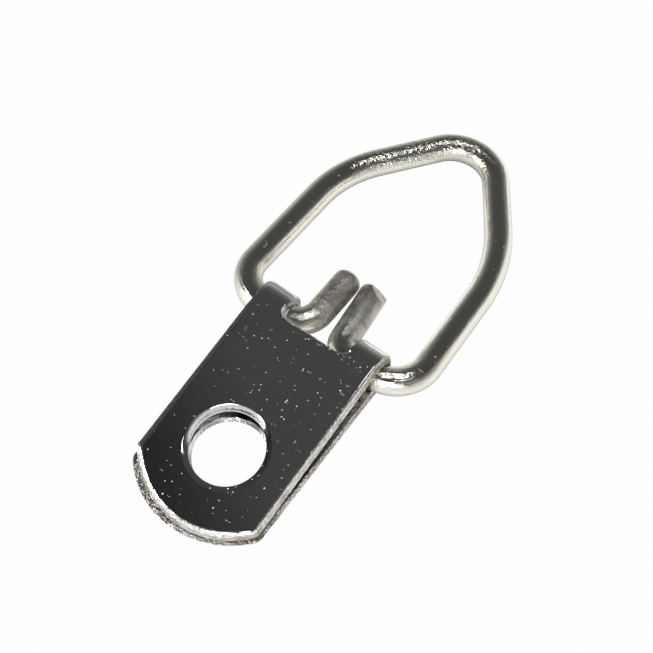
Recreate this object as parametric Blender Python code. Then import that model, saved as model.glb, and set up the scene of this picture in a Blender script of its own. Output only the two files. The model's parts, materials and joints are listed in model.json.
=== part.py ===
"""Picture hanger: a sheet-metal strap folded in two round a swinging wire ring.

The strap is made as in the press shop. A flat blank with two screw holes and a middle slot is
punched, its outer edges rolled over by the die, and it is then folded round the wire. The slot
becomes the notch between the two barrels. The ring is one length of wire, bent to a five-sided
loop, whose cut ends turn up side by side in the notch as two prongs.

All sizes are in millimetres; the finished meshes are stored in metres, +Z up. The back leaf
lies on Z = 0, X runs along the hinge axis and the ring points to +Y.
"""
import math

import bmesh
import bpy
from mathutils import Matrix, Vector

# Scale of the stored meshes
METRES_PER_MM = 0.001

# Strap
STRAP_WIDTH = 11.4
SHEET_THICKNESS = 0.62
LEAF_LENGTH = 17.8
BACK_LEAF_EXTRA = 0.2
TIP_RADIUS = 7.35
TIP_GAP = 0.1
ROLL_WIDTH = 0.7
ROLL_DEPTH = 0.25
EDGE_LAND = 0.1

# Screw hole through both leaves
HOLE_DIAMETER = 5.85
HOLE_FROM_HINGE = 11.3

# Notch between the barrels
NOTCH_REACH = 0.5
NOTCH_CORNER = 0.7

# Wire ring, sizes taken on the wire's centre line unless they say outside
WIRE_DIAMETER = 2.3
RING_OUTSIDE_REACH = 23.75
APEX_ANGLE = 72.0
APEX_RADIUS = 3.6
SHOULDER_WIDTH = 15.95
SHOULDER_RADIUS = 11.0
LEG_OVERHANG = 2.65
WIRE_END_ROUND = 0.45

# Prongs
PRONG_LENGTH = 6.2
PRONG_GAP = 0.1
PRONG_BEND_RADIUS = 2.05

# Fits
RUNNING_CLEARANCE = 0.15
BEND_INSIDE_BARREL = 0.2
FLOOR_CLEARANCE = 0.02

# Fineness of the round stretches
DEGREES_PER_STEP = 7.5
ROLL_STEPS = 4
END_ROUND_STEPS = 4
WIRE_BEVEL_RESOLUTION = 8
SHARP_EDGE_DEGREES = 30.0

# Finishes: colour, roughness
BRIGHT_NICKEL = ((0.63, 0.61, 0.58, 1.0), 0.16)
WORN_NICKEL = ((0.56, 0.55, 0.53, 1.0), 0.24)

# Worked out from the sizes above
WIRE_RADIUS = WIRE_DIAMETER / 2
BARREL_BORE_RADIUS = WIRE_RADIUS + RUNNING_CLEARANCE
HINGE_HEIGHT = SHEET_THICKNESS + BARREL_BORE_RADIUS
APEX_REACH = RING_OUTSIDE_REACH - WIRE_RADIUS
RING_DROOP = math.asin((HINGE_HEIGHT - WIRE_RADIUS - FLOOR_CLEARANCE) / APEX_REACH)
PRONG_OFFSET = (WIRE_DIAMETER + PRONG_GAP) / 2
NOTCH_HALF_WIDTH = PRONG_OFFSET + PRONG_BEND_RADIUS - BEND_INSIDE_BARREL
BACK_LEAF_LENGTH = LEAF_LENGTH + BACK_LEAF_EXTRA

# The origin lies under the middle of the whole length, ring included
RING_FLAT_REACH = APEX_REACH * math.cos(RING_DROOP) + WIRE_RADIUS
HINGE_Y = (BACK_LEAF_LENGTH - RING_FLAT_REACH) / 2


def closing_angle():
    """Slope of the front leaf that leaves TIP_GAP between the two leaf tips."""
    lever = math.hypot(BARREL_BORE_RADIUS, LEAF_LENGTH)
    lead = math.atan2(LEAF_LENGTH, BARREL_BORE_RADIUS)
    return math.acos((TIP_GAP - BARREL_BORE_RADIUS) / lever) - lead


LEAF_SLOPE = closing_angle()
FOLD_ANGLE = math.pi + LEAF_SLOPE
FOLD_LENGTH = BARREL_BORE_RADIUS * FOLD_ANGLE


def remove_all_objects():
    for existing in list(bpy.data.objects):
        bpy.data.objects.remove(existing, do_unlink=True)


def arc_points(centre, radius, start, end):
    """Points of an arc from the start angle to the end angle, both included."""
    steps = max(2, math.ceil(abs(end - start) / math.radians(DEGREES_PER_STEP)))
    angles = [start + (end - start) * step / steps for step in range(steps + 1)]
    return [Vector((centre[0] + radius * math.cos(a), centre[1] + radius * math.sin(a))) for a in angles]


def blank_outline():
    """Outer contour of the flat blank, anticlockwise; y runs along the sheet from the back leaf."""
    corner_angle = math.asin(STRAP_WIDTH / 2 / TIP_RADIUS)
    front_centre = (0, FOLD_LENGTH + LEAF_LENGTH - TIP_RADIUS)
    back_centre = (0, TIP_RADIUS - BACK_LEAF_LENGTH)
    up = math.pi / 2
    front = arc_points(front_centre, TIP_RADIUS, up - corner_angle, up + corner_angle)
    back = arc_points(back_centre, TIP_RADIUS, -up - corner_angle, -up + corner_angle)
    return front + back


def hole_contour(place):
    """Clockwise circle of a screw hole, whose centre lies at the given place along the sheet."""
    circle = arc_points((0, place), HOLE_DIAMETER / 2, 0, -2 * math.pi)
    return circle[:-1]


def slot_contour():
    """Clockwise contour of the middle slot, a rectangle with round corners."""
    corner_x = NOTCH_HALF_WIDTH - NOTCH_CORNER
    low_y = NOTCH_CORNER - NOTCH_REACH
    high_y = FOLD_LENGTH + NOTCH_REACH - NOTCH_CORNER
    quarter = math.pi / 2
    corners = ((corner_x, high_y), (corner_x, low_y), (-corner_x, low_y), (-corner_x, high_y))
    points = []
    for turn, centre in enumerate(corners):
        start = quarter - turn * quarter
        points += arc_points(centre, NOTCH_CORNER, start, start - quarter)
    return points


def hole_places():
    """Places along the blank that come to lie one above the other once the strap is folded."""
    mid_sheet = BARREL_BORE_RADIUS + SHEET_THICKNESS / 2
    along_front = (HOLE_FROM_HINGE - mid_sheet * math.sin(LEAF_SLOPE)) / math.cos(LEAF_SLOPE)
    return FOLD_LENGTH + along_front, -HOLE_FROM_HINGE


def moved_inwards(contour, distance):
    """The contour shifted into the sheet, which lies on its left, with mitred corners."""
    shifted = []
    for index, point in enumerate(contour):
        before = (point - contour[index - 1]).normalized()
        after = (contour[(index + 1) % len(contour)] - point).normalized()
        left = Vector((-before.y - after.y, before.x + after.x)).normalized()
        mitre = left.dot(Vector((-after.y, after.x)))
        shifted.append(point + left * (distance / mitre))
    return shifted


def edge_profile():
    """Steps of a punched edge, as (shift inwards, height): a square land, then the die's roll-over."""
    depth = min(ROLL_DEPTH, SHEET_THICKNESS - EDGE_LAND)
    steps = [(0, 0)]
    for step in range(ROLL_STEPS + 1):
        share = step / ROLL_STEPS
        steps.append((ROLL_WIDTH * share, SHEET_THICKNESS - depth * (1 - share) ** 2))
    return steps


def add_punched_wall(sheet, contour):
    """Wall of one contour from the inner to the outer face; returns its first and last loops of edges."""
    rings = []
    for shift, height in edge_profile():
        ring = [sheet.verts.new((p.x, p.y, -height)) for p in moved_inwards(contour, shift)]
        rings.append(ring)
    count = len(contour)
    for low, high in zip(rings, rings[1:]):
        for index in range(count):
            following = (index + 1) % count
            sheet.faces.new((low[index], low[following], high[following], high[index]))
    return [[sheet.edges.get((ring[i], ring[(i + 1) % count])) for i in range(count)]
            for ring in (rings[0], rings[-1])]


def flat_blank():
    """The punched blank as a closed solid, lying outer face down with its inner face on z = 0."""
    sheet = bmesh.new()
    contours = [blank_outline(), slot_contour()]
    contours += [hole_contour(place) for place in hole_places()]
    inner_edges = []
    outer_edges = []
    for contour in contours:
        inner, outer = add_punched_wall(sheet, contour)
        inner_edges += inner
        outer_edges += outer
    bmesh.ops.triangle_fill(sheet, use_beauty=True, edges=inner_edges, normal=(0, 0, 1))
    bmesh.ops.triangle_fill(sheet, use_beauty=True, edges=outer_edges, normal=(0, 0, -1))
    bmesh.ops.recalc_face_normals(sheet, faces=sheet.faces)
    return sheet


def score_fold_lines(sheet):
    """Cut the blank across at even steps of the fold, so that it can follow the bend."""
    steps = math.ceil(FOLD_ANGLE / math.radians(DEGREES_PER_STEP))
    for step in range(steps + 1):
        everything = sheet.verts[:] + sheet.edges[:] + sheet.faces[:]
        line = (0, FOLD_LENGTH * step / steps, 0)
        bmesh.ops.bisect_plane(sheet, geom=everything, plane_co=line, plane_no=(0, 1, 0))


def folded(point):
    """Where a point of the blank goes when the strap is folded round the hinge axis."""
    along = point.y
    depth = -point.z
    if along <= 0:
        return Vector((point.x, along, SHEET_THICKNESS - depth))
    turn = min(along / BARREL_BORE_RADIUS, FOLD_ANGLE) - math.pi / 2
    outward = Vector((0, math.cos(turn), math.sin(turn)))
    onward = Vector((0, -math.sin(turn), math.cos(turn)))
    straight_run = max(0, along - FOLD_LENGTH)
    bent = outward * (BARREL_BORE_RADIUS + depth) + onward * straight_run
    return bent + Vector((point.x, 0, HINGE_HEIGHT))


def plated_metal(name, finish):
    colour, roughness = finish
    material = bpy.data.materials.new(name)
    material.use_nodes = True
    shader = material.node_tree.nodes["Principled BSDF"]
    shader.inputs["Base Color"].default_value = colour
    shader.inputs["Metallic"].default_value = 1.0
    shader.inputs["Roughness"].default_value = roughness
    return material


def add_object(name, data, finish):
    made = bpy.data.objects.new(name, data)
    data.materials.append(plated_metal(name + "_finish", finish))
    bpy.context.scene.collection.objects.link(made)
    return made


def make_folded_strap():
    sheet = flat_blank()
    score_fold_lines(sheet)
    for vertex in sheet.verts:
        vertex.co = folded(vertex.co)
    sheet.transform(Matrix.Scale(METRES_PER_MM, 4))
    mesh = bpy.data.meshes.new("folded_strap")
    sheet.to_mesh(mesh)
    sheet.free()
    mesh.shade_smooth()
    mesh.set_sharp_from_angle(angle=math.radians(SHARP_EDGE_DEGREES))
    strap = add_object("folded_strap", mesh, BRIGHT_NICKEL)
    strap.location.y = HINGE_Y * METRES_PER_MM
    return strap


def ring_corners():
    """Sharp corners of the wire's route, right half from prong to apex, with their bend radii."""
    half_angle = math.radians(APEX_ANGLE / 2)
    apex = Vector((0, APEX_REACH + APEX_RADIUS * (1 / math.sin(half_angle) - 1)))
    shoulder_x = SHOULDER_WIDTH / 2
    shoulder = Vector((shoulder_x, apex.y - shoulder_x / math.tan(half_angle)))
    base = Vector((STRAP_WIDTH / 2 + LEG_OVERHANG, 0))
    leg_lean = math.atan2(base.x - shoulder.x, shoulder.y)
    base_turn = math.pi / 2 + leg_lean
    base_radius = (LEG_OVERHANG + BEND_INSIDE_BARREL) / math.tan(base_turn / 2)
    prong = Vector((PRONG_OFFSET, 0))
    return [(prong, PRONG_BEND_RADIUS), (base, base_radius), (shoulder, SHOULDER_RADIUS), (apex, APEX_RADIUS)]


def bend(before, corner, after, radius):
    """Points of the round bend that takes the wire past a corner."""
    back = (before - corner).normalized()
    onward = (after - corner).normalized()
    half_angle = back.angle(onward) / 2
    centre = corner + (back + onward).normalized() * (radius / math.sin(half_angle))
    first = corner + back * (radius / math.tan(half_angle)) - centre
    last = corner + onward * (radius / math.tan(half_angle)) - centre
    start = math.atan2(first.y, first.x)
    turn = math.atan2(first.x * last.y - first.y * last.x, first.dot(last))
    return arc_points(centre, radius, start, start + turn)


def wire_route():
    """Centre line of the whole wire in the ring's plane, from the right prong's end to the left one's."""
    right = ring_corners()
    left = [(Vector((-corner.x, corner.y)), radius) for corner, radius in reversed(right[:-1])]
    corners = right + left
    right_end = Vector((PRONG_OFFSET, PRONG_LENGTH))
    left_end = Vector((-PRONG_OFFSET, PRONG_LENGTH))
    stops = [right_end] + [corner for corner, radius in corners] + [left_end]
    route = []
    for index, (corner, radius) in enumerate(corners):
        route += bend(stops[index], corner, stops[index + 2], radius)
    return [right_end] + route + [left_end]


def rounded_end(end, towards):
    """Points and wire radii of a cut end whose rim is rounded, from the tip inwards."""
    inwards = (towards - end).normalized()
    points = []
    for step in range(END_ROUND_STEPS + 1):
        angle = math.pi / 2 * step / END_ROUND_STEPS
        depth = WIRE_END_ROUND * (1 - math.cos(angle))
        radius = WIRE_RADIUS - WIRE_END_ROUND * (1 - math.sin(angle))
        points.append((end + inwards * depth, radius))
    return points


def make_wire_ring():
    route = wire_route()
    first_end = rounded_end(route[0], route[1])
    last_end = rounded_end(route[-1], route[-2])
    stations = first_end + [(point, WIRE_RADIUS) for point in route[1:-1]] + last_end[::-1]

    curve = bpy.data.curves.new("wire_ring", "CURVE")
    curve.dimensions = "3D"
    curve.bevel_depth = WIRE_RADIUS * METRES_PER_MM
    curve.bevel_resolution = WIRE_BEVEL_RESOLUTION
    curve.use_fill_caps = True
    spline = curve.splines.new("POLY")
    spline.points.add(len(stations) - 1)
    spline.use_smooth = True
    for station, (point, radius) in zip(spline.points, stations):
        station.co = (point.x * METRES_PER_MM, point.y * METRES_PER_MM, 0, 1)
        station.radius = radius / WIRE_RADIUS

    ring = add_object("wire_ring", curve, WORN_NICKEL)
    ring.rotation_euler.x = -RING_DROOP
    return ring


def make_hinge_axis():
    """Empty on the barrels' common axis, on which the ring swings."""
    axis = bpy.data.objects.new("hinge_axis", None)
    axis.empty_display_size = STRAP_WIDTH * METRES_PER_MM
    axis.location = (0, HINGE_Y * METRES_PER_MM, HINGE_HEIGHT * METRES_PER_MM)
    bpy.context.scene.collection.objects.link(axis)
    return axis


def main():
    remove_all_objects()
    make_folded_strap()
    axis = make_hinge_axis()
    ring = make_wire_ring()
    ring.parent = axis


main()
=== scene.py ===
import json
import math

import bmesh
import bpy
import numpy as np
from mathutils import Matrix, Vector
from mathutils.geometry import delaunay_2d_cdt


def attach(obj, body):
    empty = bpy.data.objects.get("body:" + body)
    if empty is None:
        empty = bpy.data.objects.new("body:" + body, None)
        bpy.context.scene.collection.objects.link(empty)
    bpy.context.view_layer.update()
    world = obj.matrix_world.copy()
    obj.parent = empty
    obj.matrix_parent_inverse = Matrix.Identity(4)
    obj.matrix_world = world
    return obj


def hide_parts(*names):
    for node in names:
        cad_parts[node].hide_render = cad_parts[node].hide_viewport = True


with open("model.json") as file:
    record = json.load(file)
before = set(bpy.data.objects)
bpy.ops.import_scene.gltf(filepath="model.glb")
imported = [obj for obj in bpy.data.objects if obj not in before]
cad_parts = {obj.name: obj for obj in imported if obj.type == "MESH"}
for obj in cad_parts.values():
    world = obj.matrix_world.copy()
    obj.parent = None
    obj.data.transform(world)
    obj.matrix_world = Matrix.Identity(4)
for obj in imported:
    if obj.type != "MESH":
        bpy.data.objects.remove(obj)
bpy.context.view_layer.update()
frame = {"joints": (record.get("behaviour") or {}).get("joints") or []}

# Lengths below are in millimetres; finished pieces are stored in metres
METRES_PER_MM = 0.001

# Strap
STRAP_WIDTH = 11.4
SHEET_THICKNESS = 0.62
LEAF_LENGTH = 17.8
BACK_LEAF_LENGTH = 17.9
TIP_RADIUS = 7.35
TIP_CORNER_ROUND = 0.8
TIP_GAP = 0.1
FRONT_TIP_SLANT = 0.22
BACK_TIP_SLANT = 0.4
BACK_LEAF_SHIFT = 0.11
BACK_LEAF_SPREAD = 0.019
HOLE_RADIUS = 2.95
HOLE_OFFSET = 0.05
HOLE_FROM_HINGE = 11.3
NOTCH_HALF_WIDTH = 3.05
NOTCH_REACH = 0.5
NOTCH_CORNER = 0.7
BORE_RADIUS = 1.3

# Punched edges: width, drop and wear of a roll-over, then flare and height of a burr or bevel
OUTLINE_ROLL = (0.5, 0.44, 1.0)
HOLE_ROLL = (0.46, 0.53, 0.1)
SLOT_ROLL = (0.2, 0.1, 0.6)
ROLL_FULLNESS = 1.4
FACE_RIM = 0.02
LEFT_EDGE_SHARE = 0.3
RIGHT_EDGE_WIDTH_SHARE = 0.6
SIDE_EDGE_BLEND = 0.7
DEEP_HOLE_SIDE = (-0.76, -0.65)
DEEP_HOLE_EDGES = (-0.1, 0.75)
SHALLOW_HOLE_SHARE = 0.04
BACK_ROLL_SHARE = 0.35
OUTLINE_BURR = (0.1, 0.14)
SLIGHT_BURR = (0.0, 0.05)
LIP_SHARE = 0.25
LIP_STEP = 0.02
INNER_BEVEL = 0.2
BACK_BEVEL = (0.05, 0.28)
TIP_BEVEL_SHARE = 0.45
TIP_BEVEL_REACH = (12.5, 15.0)

# Wire ring: corners of the wire's centre line before it is bent, each with its bend radius
WIRE_DIAMETER = 2.3
RING_DROOP = math.radians(1.9018)
RIGHT_PRONG = ((1.81, 0.0), 1.3)
RIGHT_BASE = ((8.37, 0.0), 3.05)
RIGHT_SHOULDER = ((8.0, 13.95), 12.6)
APEX = ((0.38, 25.1), 3.63)
LEFT_SHOULDER = ((-7.95, 14.2), 10.1)
LEFT_BASE = ((-8.36, 0.0), 2.82)
LEFT_PRONG = ((-1.26, 0.0), 2.1)
RIGHT_END = (1.23, 6.2)
LEFT_END = (-1.1, 6.2)
PRONG_RISE = 0.15

# Shear mark on the right prong's end: the way it faces, and its distance from the end's middle
SHEAR_FACING = (0.5, 0.62, 0.6)
SHEAR_OFFSET = 0.35

# Form of the prongs' ends: how square the dome is, and what it leaves open for the cap
DOME_FULLNESS = 2.5
DOME_CAP = 0.001

# Where the hinge axis lies in the shared frame
_, HINGE_Y, HINGE_HEIGHT = [length / METRES_PER_MM for length in frame["joints"][0]["pos_m"]]

# Fineness of the meshes
OUTER_SPACING = 0.12
INNER_SPACING = 0.28
EDGE_SPACING = 0.07
LEAST_ARC_STEPS = 4
ROLL_STEPS = 10
WIRE_STEP = 0.12
WIRE_ROUND_STEPS = 40
BEND_STEPS = 24
NET_CLEARANCE = 0.55
NET_OVERLAP = 0.25
MERGE_DISTANCE = 1e-7
SHARP_ANGLE = math.radians(40.0)


def leaf_slope():
    """Slope of the front leaf that closes the tips to TIP_GAP."""
    lever = math.hypot(BORE_RADIUS, LEAF_LENGTH)
    return math.acos((TIP_GAP - BORE_RADIUS) / lever) - math.atan2(LEAF_LENGTH, BORE_RADIUS)


LEAF_SLOPE = leaf_slope()
FOLD_ANGLE = math.pi + LEAF_SLOPE
FOLD_LENGTH = BORE_RADIUS * FOLD_ANGLE


# Small helpers for node trees
SOFT_DETAIL = 1.0
MEDIUM_DETAIL = 2.0
RICH_DETAIL = 3.0
EVEN_ROUGHNESS = 0.5


def place(tree, kind, inputs=None, **settings):
    """Add a node, set its properties, and link or set its inputs."""
    node = tree.nodes.new(kind)
    for name, value in settings.items():
        setattr(node, name, value)
    for socket, value in (inputs or {}).items():
        if isinstance(value, bpy.types.NodeSocket):
            tree.links.new(value, node.inputs[socket])
        else:
            node.inputs[socket].default_value = value
    return node


def reckon(tree, operation, first, second=0.0, clamp=False):
    node = place(tree, "ShaderNodeMath", {0: first, 1: second}, operation=operation, use_clamp=clamp)
    return node.outputs[0]


def spread(tree, value, low, high, to_low=0.0, to_high=1.0, smooth=False):
    """Map a value from one range to another, held at the ends."""
    inputs = {"Value": value, "From Min": low, "From Max": high, "To Min": to_low, "To Max": to_high}
    kind = "SMOOTHSTEP" if smooth else "LINEAR"
    return place(tree, "ShaderNodeMapRange", inputs, interpolation_type=kind).outputs[0]


def grain(tree, where, scale, detail=MEDIUM_DETAIL, roughness=EVEN_ROUGHNESS):
    inputs = {"Vector": where, "Scale": scale, "Detail": detail, "Roughness": roughness}
    return place(tree, "ShaderNodeTexNoise", inputs).outputs["Fac"]


def dot(tree, first, second):
    node = place(tree, "ShaderNodeVectorMath", {0: first, 1: second}, operation="DOT_PRODUCT")
    return node.outputs["Value"]


def scaled(tree, vector, factor):
    return place(tree, "ShaderNodeVectorMath", {0: vector, "Scale": factor}, operation="SCALE").outputs[0]


def blend(tree, share, first, second):
    """Mix of two colours."""
    return place(tree, "ShaderNodeMix", {"Factor": share, 6: first, 7: second}, data_type="RGBA").outputs[2]


def attribute(tree, name, output="Fac"):
    """A mesh attribute as a material reads it."""
    return place(tree, "ShaderNodeAttribute", attribute_name=name).outputs[output]


def recalled(tree, name):
    """A mesh attribute as a geometry tree reads it."""
    return place(tree, "GeometryNodeInputNamedAttribute", {"Name": name}, data_type="FLOAT").outputs[0]


def stored(tree, geometry, name, value, kind="FLOAT"):
    """Geometry with an attribute kept at its points."""
    inputs = {"Geometry": geometry, "Name": name, "Value": value}
    return place(tree, "GeometryNodeStoreNamedAttribute", inputs, data_type=kind, domain="POINT").outputs[0]


def shifted(tree, geometry, offset):
    return place(tree, "GeometryNodeSetPosition", {"Geometry": geometry, "Offset": offset}).outputs[0]


def finish_off(tree, geometry, sizes, result):
    """End a geometry tree with real instances and the piece's material."""
    whole = place(tree, "GeometryNodeRealizeInstances", {"Geometry": geometry}).outputs[0]
    plated = place(tree, "GeometryNodeSetMaterial", {"Geometry": whole, "Material": sizes["Finish"]})
    tree.links.new(plated.outputs[0], result.inputs[0])


def shaping_tree(name, sizes):
    """Start a geometry tree with named size inputs; returns the tree, its input node and output node."""
    tree = bpy.data.node_groups.new(name, "GeometryNodeTree")
    face = tree.interface
    face.new_socket("Geometry", in_out="OUTPUT", socket_type="NodeSocketGeometry")
    face.new_socket("Geometry", in_out="INPUT", socket_type="NodeSocketGeometry")
    for label, value in sizes.items():
        kind = "NodeSocketInt" if isinstance(value, int) else "NodeSocketFloat"
        face.new_socket(label, in_out="INPUT", socket_type=kind)
    face.new_socket("Finish", in_out="INPUT", socket_type="NodeSocketMaterial")
    return tree, tree.nodes.new("NodeGroupInput"), tree.nodes.new("NodeGroupOutput")


def shaped(name, blank, tree, sizes, finish):
    """Run a geometry tree on a blank mesh and return the result as a plain mesh object in metres."""
    carrier = bpy.data.objects.new(name + "_blank", blank)
    bpy.context.scene.collection.objects.link(carrier)
    modifier = carrier.modifiers.new("shaping", "NODES")
    modifier.node_group = tree
    for item in tree.interface.items_tree:
        if item.in_out == "INPUT" and item.name in sizes:
            modifier[item.identifier] = sizes[item.name]
        elif item.in_out == "INPUT" and item.name == "Finish":
            modifier[item.identifier] = finish
    depsgraph = bpy.context.evaluated_depsgraph_get()
    mesh = bpy.data.meshes.new_from_object(carrier.evaluated_get(depsgraph))
    bpy.data.objects.remove(carrier)
    mesh.name = name
    mesh.transform(Matrix.Scale(METRES_PER_MM, 4))
    made = bpy.data.objects.new(name, mesh)
    bpy.context.scene.collection.objects.link(made)
    return made


# Strap: punched blank

def arc_points(centre, radius, start, end):
    steps = max(LEAST_ARC_STEPS, math.ceil(abs(end - start) * radius / EDGE_SPACING))
    angles = [start + (end - start) * step / steps for step in range(steps + 1)]
    return [Vector((centre[0] + radius * math.cos(a), centre[1] + radius * math.sin(a))) for a in angles]


def line_points(start, end):
    """Points of a straight run, ends left out."""
    steps = math.ceil((end - start).length / EDGE_SPACING)
    return [start.lerp(end, step / steps) for step in range(1, steps)]


def front_slant(x):
    """How much shorter the front leaf is than its full length, growing towards the left edge."""
    return FRONT_TIP_SLANT * (0.5 - x / STRAP_WIDTH)


def back_slant(x):
    """How much further the slantwise cut tip of the back leaf reaches at a place across it."""
    return BACK_TIP_SLANT * (0.5 - x / STRAP_WIDTH)


def tip_points(centre_y, heading):
    """Tip of one leaf from its right-hand corner to the other, seen along its heading (+1 or -1)."""
    inset_x = STRAP_WIDTH / 2 - TIP_CORNER_ROUND
    rise = math.sqrt((TIP_RADIUS - TIP_CORNER_ROUND) ** 2 - inset_x ** 2)
    swing = math.atan2(rise, inset_x)
    right = arc_points((inset_x, rise), TIP_CORNER_ROUND, 0, swing)
    nose = arc_points((0, 0), TIP_RADIUS, swing, math.pi - swing)
    left = arc_points((-inset_x, rise), TIP_CORNER_ROUND, math.pi - swing, math.pi)
    whole = right + nose[1:-1] + left
    return [Vector((heading * p.x, centre_y + heading * p.y)) for p in whole]


def blank_outline():
    front = tip_points(FOLD_LENGTH + LEAF_LENGTH - TIP_RADIUS, 1)
    front = [Vector((p.x, p.y - front_slant(p.x))) for p in front]
    back = tip_points(TIP_RADIUS - BACK_LEAF_LENGTH, -1)
    back = [Vector((p.x, p.y - back_slant(p.x))) for p in back]
    return front + line_points(front[-1], back[0]) + back + line_points(back[-1], front[0])


def hole_places():
    """Places along the blank that lie one above the other once the strap is folded."""
    mid_sheet = BORE_RADIUS + SHEET_THICKNESS / 2
    along_front = (HOLE_FROM_HINGE - mid_sheet * math.sin(LEAF_SLOPE)) / math.cos(LEAF_SLOPE)
    return FOLD_LENGTH + along_front, -HOLE_FROM_HINGE


def slot_contour():
    corner_x = NOTCH_HALF_WIDTH - NOTCH_CORNER
    low_y = NOTCH_CORNER - NOTCH_REACH
    high_y = FOLD_LENGTH + NOTCH_REACH - NOTCH_CORNER
    quarter = math.pi / 2
    points = []
    centres = ((corner_x, high_y), (corner_x, low_y), (-corner_x, low_y), (-corner_x, high_y))
    for turn, centre in enumerate(centres):
        start = quarter - turn * quarter
        corner = arc_points(centre, NOTCH_CORNER, start, start - quarter)
        if points:
            points += line_points(points[-1], corner[0])
        points += corner
    return points + line_points(points[-1], points[0])


def moved_inwards(contour, distances):
    """The contour's points shifted into the sheet, which lies on its left."""
    moved = []
    for index, (point, distance) in enumerate(zip(contour, distances)):
        before = (point - contour[index - 1]).normalized()
        after = (contour[(index + 1) % len(contour)] - point).normalized()
        left = Vector((-before.y - after.y, before.x + after.x)).normalized()
        moved.append(point + left * (distance / left.dot(Vector((-after.y, after.x)))))
    return moved


def back_share(along):
    """How far a place on the blank lies towards the back leaf: 0 on the front leaf, 1 on the back one."""
    return min(max(1 - along / FOLD_LENGTH, 0.0), 1.0)


def edge_profile(spot_y, roll, share, narrowing, burr):
    """Punched edge as (shift inwards, depth): burr or bevel, land, roll-over."""
    width, drop, _ = roll
    near, far = TIP_BEVEL_REACH
    tip = min(max((-spot_y - near) / (far - near), 0.0), 1.0) if burr[0] else 0.0
    back = back_share(spot_y) * (1 - tip * (1 - TIP_BEVEL_SHARE))
    flare, height = [a + (b - a) * back for a, b in zip(burr, BACK_BEVEL)]
    lip = burr[1] * LIP_SHARE
    steps = [(INNER_BEVEL, 0.0), (-flare, lip + (height - lip) * back), (0.0, height + LIP_STEP)]
    fall = drop * share * (1 - back_share(spot_y) * (1 - BACK_ROLL_SHARE))
    rolled = width * narrowing
    for step in range(ROLL_STEPS + 1):
        inward = math.sin(math.pi / 2 * step / ROLL_STEPS)
        steps.append((rolled * inward, SHEET_THICKNESS - fall * (1 - inward) ** ROLL_FULLNESS))
    return steps + [(rolled + FACE_RIM / 2, SHEET_THICKNESS), (width + FACE_RIM, SHEET_THICKNESS)]


def outline_shares(contour):
    """How deep the roll-over is round the outline: shallow along the strap's left edge."""
    inside = [min((p.x + STRAP_WIDTH / 2) / SIDE_EDGE_BLEND, 1.0) for p in contour]
    return [LEFT_EDGE_SHARE + (1 - LEFT_EDGE_SHARE) * share for share in inside]


def outline_narrowings(contour):
    """How wide the roll-over is round the outline: narrower along the strap's right edge."""
    inside = [min((STRAP_WIDTH / 2 - p.x) / SIDE_EDGE_BLEND, 1.0) for p in contour]
    return [RIGHT_EDGE_WIDTH_SHARE + (1 - RIGHT_EDGE_WIDTH_SHARE) * share for share in inside]


def front_hole_shares(contour, centre):
    """How deep the roll-over is round the front hole: deepest on the side where the punch went in first."""
    deep = Vector(DEEP_HOLE_SIDE).normalized()
    low, high = DEEP_HOLE_EDGES
    facing = [(p - centre).normalized().dot(deep) for p in contour]
    linear = [min(max((face - low) / (high - low), 0.0), 1.0) for face in facing]
    smooth = [share * share * (3 - 2 * share) for share in linear]
    return [SHALLOW_HOLE_SHARE + (1 - SHALLOW_HOLE_SHARE) * share for share in smooth]


def on_sheet(x, y, margins):
    """Mask of the places on the sheet that keep the given margins to its outline, slot and holes."""
    outline, slot, hole = margins
    keep = np.abs(x) < STRAP_WIDTH / 2 - outline
    front_y = FOLD_LENGTH + LEAF_LENGTH - TIP_RADIUS - front_slant(x)
    back_y = TIP_RADIUS - BACK_LEAF_LENGTH - back_slant(x)
    keep &= (y < front_y) | (np.hypot(x, y - front_y) < TIP_RADIUS - outline)
    keep &= (y > back_y) | (np.hypot(x, y - back_y) < TIP_RADIUS - outline)
    for place_y in hole_places():
        keep &= np.hypot(x - HOLE_OFFSET, y - place_y) > HOLE_RADIUS + hole
    middle = FOLD_LENGTH / 2
    beside = np.maximum(np.abs(x) - (NOTCH_HALF_WIDTH - NOTCH_CORNER), 0)
    beyond = np.maximum(np.abs(y - middle) - (middle + NOTCH_REACH - NOTCH_CORNER), 0)
    return keep & (np.hypot(beside, beyond) > NOTCH_CORNER + slot)


def sheet_points(spacing, margins):
    """Triangular net of points over the sheet."""
    row_step = spacing * math.sqrt(3) / 2
    rows = np.arange(-BACK_LEAF_LENGTH - BACK_TIP_SLANT, FOLD_LENGTH + LEAF_LENGTH, row_step)
    columns = np.arange(-STRAP_WIDTH / 2, STRAP_WIDTH / 2, spacing)
    x, y = np.meshgrid(columns, rows)
    x[1::2] += spacing / 2
    keep = on_sheet(x, y, margins)
    return [Vector((float(a), float(b))) for a, b in zip(x[keep], y[keep])]


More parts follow.
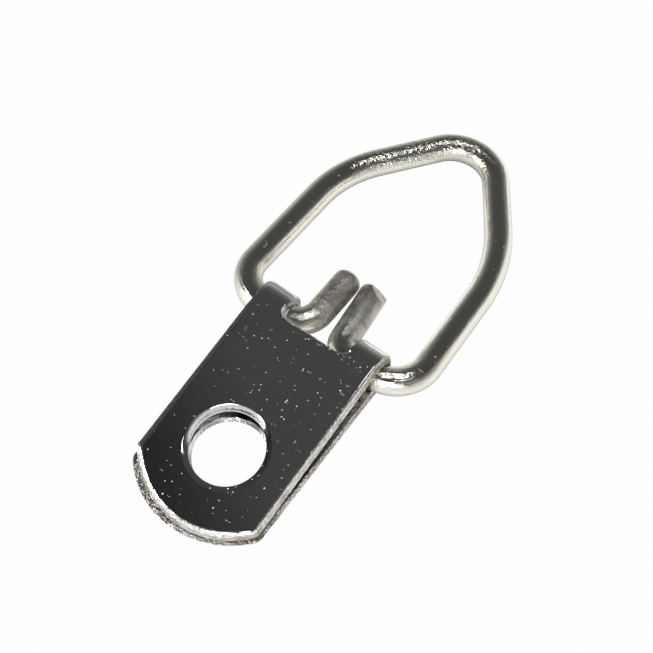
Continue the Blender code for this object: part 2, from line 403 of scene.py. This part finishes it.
def fill_face(sheet, rings, depth, spacing, margins, wear):
    """Close one face of the sheet between its edge rings with an even net of triangles."""
    corners = [vertex for ring in rings for vertex in ring]
    flat = [vertex.co.xy for vertex in corners]
    edges = []
    start = 0
    for ring in rings:
        count = len(ring)
        edges += [(start + i, start + (i + 1) % count) for i in range(count)]
        start += count
    inside = sheet_points(spacing, [margin + spacing * NET_CLEARANCE for margin in margins])
    places, _, triangles, origins, _, _ = delaunay_2d_cdt(flat + inside, edges, [], 1, MERGE_DISTANCE)
    vertices = []
    for place_2d, origin in zip(places, origins):
        if origin and origin[0] < len(corners):
            vertices.append(corners[origin[0]])
        else:
            vertex = sheet.verts.new((place_2d.x, place_2d.y, depth))
            vertex[wear] = 0.0
            vertices.append(vertex)
    middles = np.array([sum((places[i] for i in t), Vector((0, 0))) / 3 for t in triangles])
    keep = on_sheet(middles[:, 0], middles[:, 1], [margin - spacing * NET_OVERLAP for margin in margins])
    for triangle, kept in zip(triangles, keep):
        if kept:
            sheet.faces.new([vertices[i] for i in triangle])


def folded(point):
    """Where a point of the blank (x, along, depth) goes when the strap is folded round the axis."""
    along = point.y
    depth = point.z
    aside = point.x + (BACK_LEAF_SHIFT + BACK_LEAF_SPREAD * point.x) * back_share(along)
    if along <= 0:
        return Vector((aside, along + HINGE_Y, SHEET_THICKNESS - depth))
    turn = min(along / BORE_RADIUS, FOLD_ANGLE) - math.pi / 2
    outward = Vector((0, math.cos(turn), math.sin(turn)))
    onward = Vector((0, -math.sin(turn), math.cos(turn)))
    bent = outward * (BORE_RADIUS + depth) + onward * max(0, along - FOLD_LENGTH)
    return bent + Vector((aside, HINGE_Y, HINGE_HEIGHT))


def strap_blank():
    """The folded strap as a plain closed mesh; edge_wear marks the punched and rolled edges."""
    sheet = bmesh.new()
    wear = sheet.verts.layers.float.new("edge_wear")
    outline = blank_outline()
    slot = slot_contour()
    front_y, back_y = hole_places()
    front_hole = arc_points((HOLE_OFFSET, front_y), HOLE_RADIUS, 0, -2 * math.pi)[:-1]
    back_hole = arc_points((HOLE_OFFSET, back_y), HOLE_RADIUS, 0, -2 * math.pi)[:-1]
    deep_side = front_hole_shares(front_hole, Vector((HOLE_OFFSET, front_y)))
    contours = (
        (outline, OUTLINE_ROLL, outline_shares(outline), outline_narrowings(outline), OUTLINE_BURR),
        (slot, SLOT_ROLL, [1.0] * len(slot), [1.0] * len(slot), SLIGHT_BURR),
        (front_hole, HOLE_ROLL, deep_side, [1.0] * len(front_hole), SLIGHT_BURR),
        (back_hole, HOLE_ROLL, [1.0] * len(back_hole), [1.0] * len(back_hole), SLIGHT_BURR),
    )
    first_rings = []
    last_rings = []
    for contour, roll, shares, narrowings, burr in contours:
        width, _, worn = roll
        profiles = [edge_profile(p.y, roll, share, narrowing, burr)
                    for p, share, narrowing in zip(contour, shares, narrowings)]
        rings = []
        for level in zip(*profiles):
            ring = []
            spots = moved_inwards(contour, [step[0] for step in level])
            for spot, (shift, depth), share, narrowing in zip(spots, level, shares, narrowings):
                vertex = sheet.verts.new((spot.x, spot.y, depth))
                vertex[wear] = worn * share * max(1.0 - max(shift, 0.0) / (width * narrowing), 0.0)
                ring.append(vertex)
            rings.append(ring)
        count = len(contour)
        for low, high in zip(rings, rings[1:]):
            for i in range(count):
                j = (i + 1) % count
                sheet.faces.new((low[i], low[j], high[j], high[i]))
        first_rings.append(rings[0])
        last_rings.append(rings[-1])
    fill_face(sheet, first_rings, 0.0, INNER_SPACING, (INNER_BEVEL, INNER_BEVEL, INNER_BEVEL), wear)
    outer_margins = [roll[0] + FACE_RIM for roll in (OUTLINE_ROLL, SLOT_ROLL, HOLE_ROLL)]
    fill_face(sheet, last_rings, SHEET_THICKNESS, OUTER_SPACING, outer_margins, wear)
    for vertex in sheet.verts:
        vertex.co = folded(vertex.co)
    bmesh.ops.recalc_face_normals(sheet, faces=sheet.faces)
    mesh = bpy.data.meshes.new("strap_blank")
    sheet.to_mesh(mesh)
    sheet.free()
    mesh.shade_smooth()
    mesh.set_sharp_from_angle(angle=SHARP_ANGLE)
    return mesh


STRAP_SIZES = {
    "Pip Height": 0.014,
    "Pip Radius": 0.16,
    "Smallest Pip": 0.45,
    "Pips per mm": 1.1,
    "Pip Share": 0.045,
    "Sheet Waviness": 0.012,
    "Waves per mm": 0.16,
    "Edge Unevenness": 0.09,
    "Uneven Spots per mm": 5.5,
}


def strap_tree():
    """Lift plating pips, a slight waviness and uneven edges out of the smooth strap."""
    tree, given, result = shaping_tree("strap_shaping", STRAP_SIZES)
    sizes = given.outputs
    where = place(tree, "GeometryNodeInputPosition").outputs[0]
    normal = place(tree, "GeometryNodeInputNormal").outputs["Normal"]

    cells = place(tree, "ShaderNodeTexVoronoi", {"Vector": where, "Scale": sizes["Pips per mm"]})
    spacing = reckon(tree, "DIVIDE", 1.0, sizes["Pips per mm"])
    reach = reckon(tree, "MULTIPLY", cells.outputs["Distance"], spacing)
    chance = place(tree, "FunctionNodeSeparateColor", {"Color": cells.outputs["Color"]}).outputs
    growth = reckon(tree, "ADD", chance[1], sizes["Smallest Pip"])
    size = reckon(tree, "MULTIPLY", sizes["Pip Radius"], growth)
    dome = spread(tree, reckon(tree, "DIVIDE", reach, size), 0.0, 1.0, 1.0, 0.0, smooth=True)
    chosen = reckon(tree, "LESS_THAN", chance[0], sizes["Pip Share"])
    pips = reckon(tree, "MULTIPLY", reckon(tree, "MULTIPLY", dome, chosen), sizes["Pip Height"])

    broad = reckon(tree, "SUBTRACT", grain(tree, where, sizes["Waves per mm"], SOFT_DETAIL), 0.5)
    waves = reckon(tree, "MULTIPLY", broad, sizes["Sheet Waviness"])
    fine = reckon(tree, "SUBTRACT", grain(tree, where, sizes["Uneven Spots per mm"], SOFT_DETAIL), 0.5)
    at_edge = reckon(tree, "MULTIPLY", fine, recalled(tree, "edge_wear"))
    uneven = reckon(tree, "MULTIPLY", at_edge, sizes["Edge Unevenness"])

    lift = reckon(tree, "ADD", reckon(tree, "ADD", pips, waves), uneven)
    finish_off(tree, shifted(tree, sizes["Geometry"], scaled(tree, normal, lift)), sizes, result)
    return tree


# Wire ring

def ring_corners():
    """Corners of the wire's route with their bend radii, from the right prong's end to the left one's."""
    flat = [RIGHT_PRONG, RIGHT_BASE, RIGHT_SHOULDER, APEX, LEFT_SHOULDER, LEFT_BASE, LEFT_PRONG]
    corners = [(Vector((*spot, 0.0)), radius) for spot, radius in flat]
    return [(Vector((*RIGHT_END, PRONG_RISE)), 0.0)] + corners + [(Vector((*LEFT_END, PRONG_RISE)), 0.0)]


def at_rest():
    """Turn and shift that take the ring's own plane to its place in the shared frame."""
    return Matrix.Translation((0, HINGE_Y, HINGE_HEIGHT)) @ Matrix.Rotation(-RING_DROOP, 4, "X")


def wire_blank():
    """The wire's route as a chain of edges at its rest place, with bend_radius at each corner."""
    lie = at_rest()
    corners = ring_corners()
    points = [lie @ spot for spot, radius in corners]
    mesh = bpy.data.meshes.new("wire_blank")
    mesh.from_pydata(points, [(i, i + 1) for i in range(len(points) - 1)], [])
    bends = mesh.attributes.new("bend_radius", "FLOAT", "POINT")
    for item, (spot, radius) in zip(bends.data, corners):
        item.value = radius
    return mesh


WIRE_SIZES = {
    "Wire Diameter": WIRE_DIAMETER,
    "Length Step": WIRE_STEP,
    "Round Steps": WIRE_ROUND_STEPS,
    "Bend Steps": BEND_STEPS,
    "Right End Dome": 0.4,
    "Left End Dome": 0.85,
    "End Crowding": 1.0,
    "Draw Unevenness": 0.014,
    "Uneven Spots per mm": 0.9,
    "Shear Reach": 2.5,
}


def wire_tree():
    """Bend the chain round its corners and sweep the wire along it, with rounded cut ends."""
    tree, given, result = shaping_tree("wire_bending", WIRE_SIZES)
    sizes = given.outputs
    chain = place(tree, "GeometryNodeMeshToCurve", {"Mesh": sizes["Geometry"]}).outputs[0]
    bend = {"Curve": chain, "Radius": recalled(tree, "bend_radius"), "Count": sizes["Bend Steps"]}
    bent = place(tree, "GeometryNodeFilletCurve", bend, mode="POLY").outputs[0]
    steps = {"Curve": bent, "Length": sizes["Length Step"]}
    even = place(tree, "GeometryNodeResampleCurve", steps, mode="LENGTH").outputs[0]

    # Points crowd together towards the two cut ends, so that these can be domed
    along = place(tree, "GeometryNodeSplineParameter").outputs["Length"]
    total = place(tree, "GeometryNodeSplineLength").outputs["Length"]
    left = reckon(tree, "SUBTRACT", total, along)
    on_left = reckon(tree, "LESS_THAN", left, along)
    even_gap = reckon(tree, "MINIMUM", along, left)
    crowding = sizes["End Crowding"]
    near = reckon(tree, "DIVIDE", even_gap, crowding, clamp=True)
    pull = reckon(tree, "MULTIPLY", near, reckon(tree, "SUBTRACT", near, 1.0))
    shift = reckon(tree, "MULTIPLY", pull, crowding)
    marked = stored(tree, even, "from_end", reckon(tree, "ADD", even_gap, shift))
    marked = stored(tree, marked, "on_left", on_left)
    marked = stored(tree, marked, "place_along", along)
    way_out = reckon(tree, "SUBTRACT", 1.0, reckon(tree, "MULTIPLY", on_left, 2.0))
    tangent = place(tree, "GeometryNodeInputTangent").outputs[0]
    crowded = shifted(tree, marked, scaled(tree, tangent, reckon(tree, "MULTIPLY", shift, way_out)))

    gap = recalled(tree, "from_end")
    side = recalled(tree, "on_left")
    domes = {0: side, 2: sizes["Right End Dome"], 3: sizes["Left End Dome"]}
    dome = place(tree, "ShaderNodeMix", domes).outputs[0]
    short = reckon(tree, "SUBTRACT", 1.0, reckon(tree, "DIVIDE", gap, dome), clamp=True)
    narrowed = reckon(tree, "SUBTRACT", 1.0 + DOME_CAP, reckon(tree, "POWER", short, DOME_FULLNESS))
    scale = reckon(tree, "POWER", narrowed, 1.0 / DOME_FULLNESS)
    half = reckon(tree, "MULTIPLY", sizes["Wire Diameter"], 0.5)
    circle = {"Resolution": sizes["Round Steps"], "Radius": half}
    section = place(tree, "GeometryNodeCurvePrimitiveCircle", circle).outputs[0]
    where = place(tree, "GeometryNodeInputPosition").outputs[0]
    section = stored(tree, section, "place_round", where, "FLOAT_VECTOR")
    sweep = {"Curve": crowded, "Profile Curve": section, "Scale": scale, "Fill Caps": True}
    swept = place(tree, "GeometryNodeCurveToMesh", sweep).outputs[0]

    normal = place(tree, "GeometryNodeInputNormal").outputs["Normal"]
    rough = reckon(tree, "SUBTRACT", grain(tree, where, sizes["Uneven Spots per mm"]), 0.5)
    lift = reckon(tree, "MULTIPLY", rough, sizes["Draw Unevenness"])
    uneven = shifted(tree, swept, scaled(tree, normal, lift))

    # The right prong's end is sheared off slantwise
    facing = Vector(SHEAR_FACING).normalized()
    middle = at_rest() @ Vector((*RIGHT_END, PRONG_RISE))
    beyond = reckon(tree, "SUBTRACT", dot(tree, where, facing), facing.dot(middle) + SHEAR_OFFSET)
    near_end = reckon(tree, "LESS_THAN", gap, sizes["Shear Reach"])
    near_end = reckon(tree, "MULTIPLY", near_end, reckon(tree, "SUBTRACT", 1.0, side))
    cut = reckon(tree, "MULTIPLY", reckon(tree, "MAXIMUM", beyond, 0.0), near_end)
    sheared = shifted(tree, uneven, scaled(tree, -facing, cut))
    smooth = place(tree, "GeometryNodeSetShadeSmooth", {"Geometry": sheared}).outputs[0]
    finish_off(tree, smooth, sizes, result)
    return tree


# Finishes: noise scales are per metre and bump heights in units of BUMP_UNIT
# The wire's attributes, and so its wear edges and draw lines, are in millimetres

STRAP_FINISH = {
    "tones": ((0.84, 0.84, 0.83, 1.0), (0.8, 0.8, 0.79, 1.0)),
    "dark tone": (0.48, 0.4, 0.31, 1.0),
    "wear": "edge_wear",
    "wear edges": (0.0, 0.7),
    "speck share": 0.12,
    "dulling": 0.06,
    "grain heights": (0.4, 36.0),
}
WIRE_FINISH = {
    "tones": ((0.88, 0.86, 0.77, 1.0), (0.83, 0.81, 0.72, 1.0)),
    "dark tone": (0.4, 0.38, 0.33, 1.0),
    "wear": "from_end",
    "wear edges": (6.0, 3.5),
    "speck share": 0.05,
    "dulling": 0.28,
    "grain heights": (3.0, 22.0),
}
BUMP_UNIT = 4.0e-6
FINE_SCALE = 5200.0
PEEL_SCALE = 1500.0
PEEL_HEIGHTS = (0.6, 6.5)

SPECK_SCALE = 4600.0
SPECK_SIZES = (0.16, 0.46)
SPECK_CORE = 0.1
SPECK_CROWD_SCALE = 240.0
SPECK_CROWD_EDGES = (0.4, 0.7)
SPECK_CROWDING = (0.5, 3.0)
SPECK_STRENGTHS = (0.1, 1.3)
SPECK_HEIGHT = 8.0

SCRATCHES = ((0.5, 26.0), (-0.9, 34.0), (1.4, 30.0))
SCRATCH_SCALE = 420.0
SCRATCH_EDGES = (0.8, 0.84)
SCRATCH_DEPTH = 1.2
SCRATCH_DULLING = 0.15

CLOUD_SCALE = 260.0
CLOUD_EDGES = (0.3, 0.7)
MOTTLE_SCALE = 1100.0
MOTTLE_ROUGHNESS = 0.65
MOTTLE_EDGES = (0.42, 0.6)
DARK_TONE_FROM = 0.9
DARK_TONE_SHARES = (0.1, 0.85)
SHEEN_SCALE = 900.0
SHEEN_EDGES = (0.3, 0.7)
SHEEN_LEVELS = (0.06, 0.085)

DRAW_LINE_SCALE = 13.0
DRAW_LINE_STRETCH = 0.05
DRAW_LINE_HEIGHTS = (2.2, 7.5)
FORMED_STRETCH = (17.0, 13.0)
RUBBED_SPOT = (-0.0036, 0.0172, 0.0012)
RUBBED_EDGES = (0.0078, 0.0045)
RUBBED_SHARE = 0.75


def rubbed_stretch(tree, where):
    """Share of scuffing on the left slope of the ring, round its middle."""
    away = place(tree, "ShaderNodeVectorMath", {0: where, 1: RUBBED_SPOT}, operation="DISTANCE")
    return spread(tree, away.outputs["Value"], *RUBBED_EDGES, 0.0, RUBBED_SHARE)


def draw_lines(tree):
    """Fine lines that the drawing die left along the wire, deeper where the forming tool gripped it."""
    along = reckon(tree, "MULTIPLY", attribute(tree, "place_along"), DRAW_LINE_STRETCH)
    stretched = place(tree, "ShaderNodeCombineXYZ", {"Z": along}).outputs[0]
    place_round = attribute(tree, "place_round", "Vector")
    spot = place(tree, "ShaderNodeVectorMath", {0: place_round, 1: stretched}, operation="ADD").outputs[0]
    depth = spread(tree, attribute(tree, "from_end"), *FORMED_STRETCH, *DRAW_LINE_HEIGHTS)
    return reckon(tree, "MULTIPLY", grain(tree, spot, DRAW_LINE_SCALE), depth)


def plating_specks(tree, where, share):
    """Scattered grains in the plating, crowded in places, of uneven size and height."""
    cells = place(tree, "ShaderNodeTexVoronoi", {"Vector": where, "Scale": SPECK_SCALE})
    chance = place(tree, "ShaderNodeSeparateColor", {"Color": cells.outputs["Color"]}).outputs
    size = spread(tree, chance[2], 0.0, 1.0, *SPECK_SIZES)
    reach = reckon(tree, "DIVIDE", cells.outputs["Distance"], size)
    spot = spread(tree, reach, SPECK_CORE, 1.0, 1.0, 0.0, smooth=True)
    fewest, most = SPECK_CROWDING
    crowd = grain(tree, where, SPECK_CROWD_SCALE)
    crowd = spread(tree, crowd, *SPECK_CROWD_EDGES, fewest * share, most * share)
    chosen = reckon(tree, "MULTIPLY", spot, reckon(tree, "LESS_THAN", chance[0], crowd))
    strength = spread(tree, reckon(tree, "POWER", chance[1], 2.0), 0.0, 1.0, *SPECK_STRENGTHS)
    return reckon(tree, "MULTIPLY", chosen, strength)


def rubbing_scratches(tree, where):
    """Short scratches in a few directions."""
    marks = 0.0
    for turn, stretch in SCRATCHES:
        mapping = {"Vector": where, "Rotation": (0.0, 0.0, turn), "Scale": (1.0, stretch, 1.0)}
        turned = place(tree, "ShaderNodeMapping", mapping).outputs[0]
        line = spread(tree, grain(tree, turned, SCRATCH_SCALE, SOFT_DETAIL), *SCRATCH_EDGES)
        marks = reckon(tree, "MAXIMUM", marks, line)
    return marks


def nickel_plate(name, finish, drawn=False):
    """Bright nickel over steel, with specks, scratches and worn stretches; drawn adds a wire's marks."""
    material = bpy.data.materials.new(name)
    material.use_nodes = True
    tree = material.node_tree
    where = place(tree, "ShaderNodeTexCoord").outputs["Object"]
    bare = spread(tree, attribute(tree, finish["wear"]), *finish["wear edges"])
    worn = reckon(tree, "MAXIMUM", bare, rubbed_stretch(tree, where)) if drawn else bare

    # Bump: plating grain, specks, scratches
    fine = spread(tree, worn, 0.0, 1.0, *finish["grain heights"])
    fine = reckon(tree, "MULTIPLY", grain(tree, where, FINE_SCALE), fine)
    peel = spread(tree, worn, 0.0, 1.0, *PEEL_HEIGHTS)
    peel = reckon(tree, "MULTIPLY", grain(tree, where, PEEL_SCALE, SOFT_DETAIL), peel)
    specks = plating_specks(tree, where, finish["speck share"])
    marks = rubbing_scratches(tree, where)
    height = reckon(tree, "ADD", fine, peel)
    height = reckon(tree, "ADD", height, reckon(tree, "MULTIPLY", specks, SPECK_HEIGHT))
    height = reckon(tree, "SUBTRACT", height, reckon(tree, "MULTIPLY", marks, SCRATCH_DEPTH))
    if drawn:
        height = reckon(tree, "ADD", height, draw_lines(tree))
    bump = place(tree, "ShaderNodeBump", {"Strength": 1.0, "Distance": BUMP_UNIT, "Height": height})

    # Colour: greyer in clouds, and a darker brown in patches along the right edge and tips of the strap's
    # outline and near the wire's ends
    clouds = grain(tree, where, CLOUD_SCALE, RICH_DETAIL)
    tone = blend(tree, spread(tree, clouds, *CLOUD_EDGES), *finish["tones"])
    mottle = reckon(tree, "ADD", clouds, grain(tree, where, MOTTLE_SCALE, RICH_DETAIL, MOTTLE_ROUGHNESS))
    mottle = spread(tree, reckon(tree, "MULTIPLY", mottle, 0.5), *MOTTLE_EDGES, *DARK_TONE_SHARES)
    darker_share = reckon(tree, "MULTIPLY", spread(tree, bare, DARK_TONE_FROM, 1.0), mottle)

    # Roughness: smooth plate, duller where bare and in the scratches
    sheen = spread(tree, grain(tree, where, SHEEN_SCALE, RICH_DETAIL), *SHEEN_EDGES, *SHEEN_LEVELS)
    sheen = reckon(tree, "ADD", sheen, reckon(tree, "MULTIPLY", bare, finish["dulling"]))
    sheen = reckon(tree, "ADD", sheen, reckon(tree, "MULTIPLY", marks, SCRATCH_DULLING), clamp=True)

    shader = tree.nodes["Principled BSDF"]
    shader.inputs["Metallic"].default_value = 1.0
    tree.links.new(blend(tree, darker_share, tone, finish["dark tone"]), shader.inputs["Base Color"])
    tree.links.new(sheen, shader.inputs["Roughness"])
    tree.links.new(bump.outputs[0], shader.inputs["Normal"])
    return material


# Studio

FLOOR_SIZE = 6.0
FLOOR_DROP = 0.00003
FLOOR_WHITE_SHARE = 0.985
DIM_SIDE_START = -0.0095
DIM_SLOPE_START = 0.0165
DIM_SLOPE_HEADING = (-0.795, 0.607, 0.0)
DIM_REACH = 0.008
DIM_LEVEL = 0.4
DIM_BESIDE_RING = (-0.012, -0.004)
CONTACT_SHADE_REACH = 0.003
CONTACT_SHADE_POWER = 1.3
CONTACT_SHADE_SAMPLES = 8
PAPER = (0.9, 0.9, 0.9, 1.0)
WHITE = (1.0, 1.0, 1.0, 1.0)

# Room mirrored by the plating: height of the heading and light level there, then its patches
ROOM_LEVELS = ((0.0, 0.45), (0.14, 0.3), (0.26, 0.2), (0.5, 0.1), (0.7, 0.07), (1.0, 0.06))
GLOW_HEADING = (0.43, -0.57, 0.7)
GLOW_EDGES = (0.7, 0.92)
GLOW_LEVEL = 0.12
LENS_HEADING = (0.278, -0.372, 0.886)
LENS_EDGES = (0.95, 0.975)
LENS_SHARE = 0.8
BRIGHT_WALL_HEADING = (0.6, -0.8, 0.0)
BRIGHT_WALL_EDGES = (-0.6, -0.1)
BRIGHT_WALL_HEIGHT = (0.05, 0.55)
BRIGHT_WALL_LEVEL = 0.65
WALL_FOOT_EDGES = (0.3, 0.7)
WALL_FOOT_HEIGHT = 0.2
WALL_FOOT_SHARE = 0.9
DARK_CEILING_HEADING = (-0.8, -0.9, 0.0)
DARK_CEILING_EDGES = (0.2, 0.34)
DARK_CEILING_HEIGHT = (0.8, 0.92)
DARK_CEILING_SHARE = 0.65

# Lamps: name, azimuth and elevation in degrees, width and height in metres, power in watts
LAMP_DISTANCE = 0.5
LAMPS = (
    ("front_left_strip", -132.0, 24.0, 0.3, 0.1, 0.6),
    ("front_right_strip", -62.0, 30.0, 0.36, 0.1, 0.75),
    ("overhead_lamp", 90.0, 80.8, 0.095, 0.095, 0.25),
)


def lay_floor():
    """White table with a trace of the object's shadow, shaded near the object in the plating's mirror."""
    bpy.ops.mesh.primitive_plane_add(size=FLOOR_SIZE, location=(0, 0, -FLOOR_DROP))
    floor = bpy.context.object
    floor.name = "white_table"
    material = bpy.data.materials.new("white_table_top")
    material.use_nodes = True
    tree = material.node_tree
    tree.nodes.clear()
    paper = place(tree, "ShaderNodeBsdfDiffuse", {"Color": PAPER})
    glow = place(tree, "ShaderNodeEmission", {"Color": WHITE, "Strength": 1.0})
    rays = place(tree, "ShaderNodeLightPath").outputs
    near = place(tree, "ShaderNodeAmbientOcclusion", {"Distance": CONTACT_SHADE_REACH},
                 samples=CONTACT_SHADE_SAMPLES)
    shade = reckon(tree, "POWER", near.outputs["AO"], CONTACT_SHADE_POWER)

    # In the plating's mirror alone, the table is dimmer at the far left, beyond the ring
    spot = place(tree, "ShaderNodeTexCoord").outputs["Object"]
    spot_x, spot_y, _ = place(tree, "ShaderNodeSeparateXYZ", {0: spot}).outputs
    beyond_slope = reckon(tree, "SUBTRACT", dot(tree, spot, DIM_SLOPE_HEADING), DIM_SLOPE_START)
    outside = reckon(tree, "MAXIMUM", reckon(tree, "SUBTRACT", DIM_SIDE_START, spot_x), beyond_slope)
    dim = spread(tree, outside, 0.0, DIM_REACH, 0.0, 1.0 - DIM_LEVEL)
    dim = reckon(tree, "MULTIPLY", dim, spread(tree, spot_y, *DIM_BESIDE_RING))
    shade = reckon(tree, "MULTIPLY", shade, reckon(tree, "SUBTRACT", 1.0, dim))
    shaded = place(tree, "ShaderNodeEmission", {"Color": WHITE, "Strength": shade})
    seen = place(tree, "ShaderNodeMixShader", {1: paper.outputs[0], 2: glow.outputs[0]})
    tree.links.new(reckon(tree, "MULTIPLY", rays["Is Camera Ray"], FLOOR_WHITE_SHARE), seen.inputs[0])
    sent_on = reckon(tree, "MAXIMUM", rays["Is Glossy Ray"], rays["Is Transmission Ray"])
    mirrored = place(tree, "ShaderNodeMixShader", {1: seen.outputs[0], 2: shaded.outputs[0]})
    tree.links.new(sent_on, mirrored.inputs[0])
    place(tree, "ShaderNodeOutputMaterial", {"Surface": mirrored.outputs[0]})
    floor.data.materials.append(material)


def hang_studio():
    """Grey room, darker towards the ceiling, with one brighter wall; white where the camera sees it."""
    world = bpy.data.worlds.new("studio")
    bpy.context.scene.world = world
    world.use_nodes = True
    tree = world.node_tree
    tree.nodes.clear()
    heading = place(tree, "ShaderNodeTexCoord").outputs["Generated"]
    height = place(tree, "ShaderNodeSeparateXYZ", {0: heading}).outputs["Z"]
    ramp = place(tree, "ShaderNodeValToRGB", {"Fac": height})
    elements = ramp.color_ramp.elements
    while len(elements) < len(ROOM_LEVELS):
        elements.new(0.5)
    for element, (at, level) in zip(elements, ROOM_LEVELS):
        element.position = at
        element.color = (level, level, level, 1.0)
    towards = dot(tree, heading, Vector(GLOW_HEADING).normalized())
    glow = spread(tree, towards, *GLOW_EDGES, 0.0, GLOW_LEVEL, smooth=True)
    facing = dot(tree, heading, BRIGHT_WALL_HEADING)
    wall = spread(tree, facing, *BRIGHT_WALL_EDGES, smooth=True)
    low = spread(tree, height, *BRIGHT_WALL_HEIGHT, BRIGHT_WALL_LEVEL, 0.0, smooth=True)
    foot_side = spread(tree, facing, *WALL_FOOT_EDGES, smooth=True)
    foot_rise = spread(tree, height, 0.0, WALL_FOOT_HEIGHT, WALL_FOOT_SHARE, 0.0, smooth=True)
    foot = reckon(tree, "MULTIPLY", foot_side, foot_rise)
    low = reckon(tree, "MULTIPLY", low, reckon(tree, "SUBTRACT", 1.0, foot))
    added = reckon(tree, "ADD", glow, reckon(tree, "MULTIPLY", wall, low))
    lit = place(tree, "ShaderNodeVectorMath", {0: ramp.outputs["Color"], 1: added}, operation="ADD")

    # A darker patch of ceiling, mirrored by the lower left of the front leaf, and one round the lens
    patch = spread(tree, dot(tree, heading, DARK_CEILING_HEADING), *DARK_CEILING_EDGES, smooth=True)
    high = spread(tree, height, *DARK_CEILING_HEIGHT, 0.0, DARK_CEILING_SHARE)
    patch = reckon(tree, "MULTIPLY", patch, high)
    lens = spread(tree, dot(tree, heading, LENS_HEADING), *LENS_EDGES, 0.0, LENS_SHARE, smooth=True)
    kept = reckon(tree, "SUBTRACT", 1.0, reckon(tree, "MAXIMUM", patch, lens))
    lit = scaled(tree, lit.outputs[0], kept)
    camera_ray = place(tree, "ShaderNodeLightPath").outputs["Is Camera Ray"]
    room = blend(tree, camera_ray, lit, WHITE)
    light = place(tree, "ShaderNodeBackground", {"Color": room, "Strength": 1.0})
    place(tree, "ShaderNodeOutputWorld", {"Surface": light.outputs[0]})


def aimed(location, target):
    """Rotation that points a lamp at a target."""
    return (Vector(target) - Vector(location)).to_track_quat("-Z", "Y").to_euler()


def hang_lamp(name, azimuth, elevation, width, height, power):
    lamp = bpy.data.lights.new(name, "AREA")
    lamp.shape = "ELLIPSE"
    lamp.size = width
    lamp.size_y = height
    lamp.energy = power
    hung = bpy.data.objects.new(name, lamp)
    turn = math.radians(azimuth)
    rise = math.radians(elevation)
    heading = (math.cos(rise) * math.cos(turn), math.cos(rise) * math.sin(turn), math.sin(rise))
    hung.location = Vector(heading) * LAMP_DISTANCE
    hung.rotation_euler = aimed(hung.location, (0, 0, 0))
    bpy.context.scene.collection.objects.link(hung)


# Camera, at the photograph's viewing angle
VIEW_AZIMUTH = math.radians(36.81)
VIEW_ELEVATION = math.radians(62.345)
VIEW_ROLL = math.radians(-0.655)
VIEW_DISTANCE = 92.778
VIEW_TARGET = (-0.664, -0.803, 0.0)
FOCAL_PIXELS = 1158.881
IMAGE_PIXELS = 653.0
SENSOR_WIDTH = 36.0
CLIP_START = 0.001


def set_camera():
    back = Vector((math.sin(VIEW_AZIMUTH) * math.cos(VIEW_ELEVATION),
                   -math.cos(VIEW_AZIMUTH) * math.cos(VIEW_ELEVATION), math.sin(VIEW_ELEVATION)))
    level = Vector((math.cos(VIEW_AZIMUTH), math.sin(VIEW_AZIMUTH), 0))
    rise = back.cross(level)
    right = level * math.cos(VIEW_ROLL) + rise * math.sin(VIEW_ROLL)
    up = rise * math.cos(VIEW_ROLL) - level * math.sin(VIEW_ROLL)
    camera = bpy.data.objects.new("camera", bpy.data.cameras.new("camera"))
    camera.data.sensor_width = SENSOR_WIDTH
    camera.data.lens = SENSOR_WIDTH * FOCAL_PIXELS / IMAGE_PIXELS
    camera.data.clip_start = CLIP_START
    spot = (Vector(VIEW_TARGET) + back * VIEW_DISTANCE) * METRES_PER_MM
    camera.matrix_world = Matrix.Translation(spot) @ Matrix((right, up, back)).transposed().to_4x4()
    bpy.context.scene.collection.objects.link(camera)
    bpy.context.scene.camera = camera


def dress():
    strap_finish = nickel_plate("strap_nickel", STRAP_FINISH)
    strap = shaped("strap_plate", strap_blank(), strap_tree(), STRAP_SIZES, strap_finish)
    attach(strap, "strap")
    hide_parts("folded_strap")

    wire_finish = nickel_plate("wire_nickel", WIRE_FINISH, drawn=True)
    wire = shaped("bent_wire", wire_blank(), wire_tree(), WIRE_SIZES, wire_finish)
    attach(wire, "ring")
    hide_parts("wire_ring")


bpy.context.scene.view_settings.view_transform = "Standard"
dress()
lay_floor()
hang_studio()
for lamp in LAMPS:
    hang_lamp(*lamp)
set_camera()
